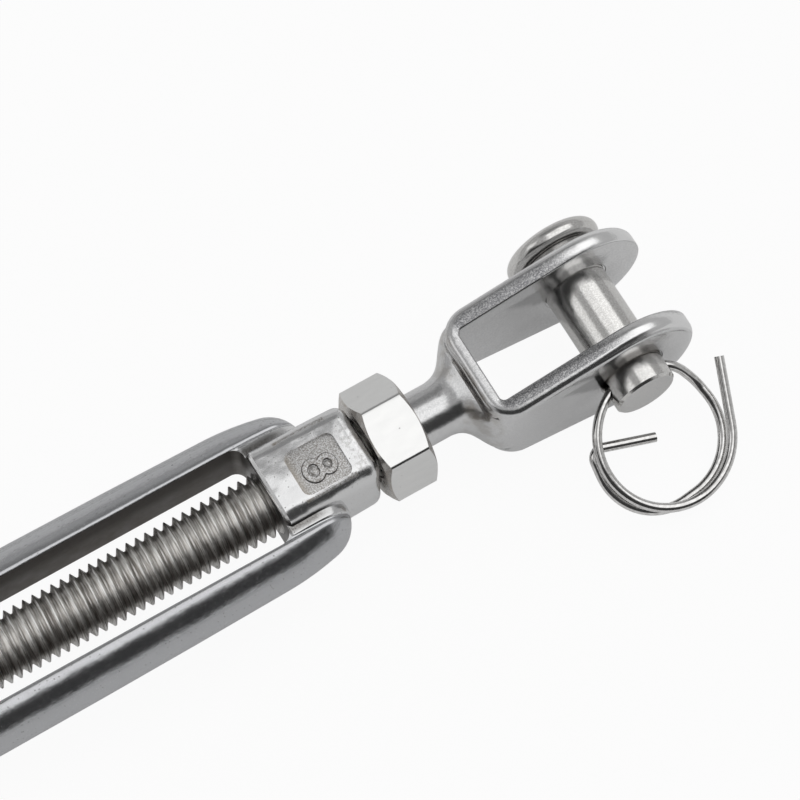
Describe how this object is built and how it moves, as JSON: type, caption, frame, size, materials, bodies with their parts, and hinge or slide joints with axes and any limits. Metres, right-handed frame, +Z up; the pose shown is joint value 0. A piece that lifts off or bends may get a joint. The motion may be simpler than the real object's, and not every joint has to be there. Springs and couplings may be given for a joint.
{
  "type": "open body turnbuckle",
  "caption": "Open-body turnbuckle for a sailing shroud, with a fork jaw, clevis pin, split ring and lock nut at each end of a slim cast frame.",
  "frame": {"origin": "middle of the body, on the thread axis", "axes": "+X along the thread axis towards the end with the number, +Y towards that end's pin head, +Z up, out of the face with the number"},
  "size_m": [0.2072, 0.0478, 0.0178],
  "materials": {
    "cast_steel": "polished stainless casting",
    "forged_steel": "polished stainless forging, satin on the edges",
    "nut_steel": "polished stainless",
    "pin_steel": "turned stainless",
    "wire_steel": "bright spring wire"
  },
  "bodies": {
    "body": {"turnbuckle_body": "cast_steel"},
    "nut_right": {"lock_nut_right": "nut_steel"},
    "jaw_right": {"jaw_right": "forged_steel"},
    "pin_right": {"clevis_pin_right": "pin_steel"},
    "ring_right": {"split_ring_right": "wire_steel"},
    "nut_left": {"lock_nut_left": "nut_steel"},
    "jaw_left": {"jaw_left": "forged_steel"},
    "pin_left": {"clevis_pin_left": "pin_steel"},
    "ring_left": {"split_ring_left": "wire_steel"}
  },
  "joints": [
    {"name": "thread_turn_right", "type": "hinge", "parent": "body", "child": "nut_right", "pos_m": [0.0635, 0, 0], "axis": [-1, 0, 0], "range_deg": [0, 11520]},
    {"name": "thread_travel_right", "type": "slide", "parent": "nut_right", "child": "jaw_right", "axis": [1, 0, 0], "range_m": [0, 0.04]},
    {"name": "pin_turn_right", "type": "hinge", "parent": "jaw_right", "child": "pin_right", "pos_m": [0.0926, 0, 0], "axis": [0, 1, 0], "continuous": true},
    {"name": "ring_swing_right", "type": "hinge", "parent": "pin_right", "child": "ring_right", "pos_m": [0.0926, -0.0084, 0], "axis": [0.9962, 0, -0.0872], "range_deg": [-100, 40]},
    {"name": "thread_turn_left", "type": "hinge", "parent": "body", "child": "nut_left", "pos_m": [-0.0635, 0, 0], "axis": [-1, 0, 0], "range_deg": [0, 11520]},
    {"name": "thread_travel_left", "type": "slide", "parent": "nut_left", "child": "jaw_left", "axis": [-1, 0, 0], "range_m": [0, 0.04]},
    {"name": "pin_turn_left", "type": "hinge", "parent": "jaw_left", "child": "pin_left", "pos_m": [-0.0926, 0, 0], "axis": [0, -1, 0], "continuous": true},
    {"name": "ring_swing_left", "type": "hinge", "parent": "pin_left", "child": "ring_left", "pos_m": [-0.0926, 0.0084, 0], "axis": [-0.9962, 0, -0.0872], "range_deg": [-100, 40]}
  ],
  "couplings": [
    {"joint": "thread_turn_right", "follows": "thread_travel_right", "rad_per_m": 5026.5},
    {"joint": "thread_turn_left", "follows": "thread_travel_left", "rad_per_m": 5026.5}
  ]
}
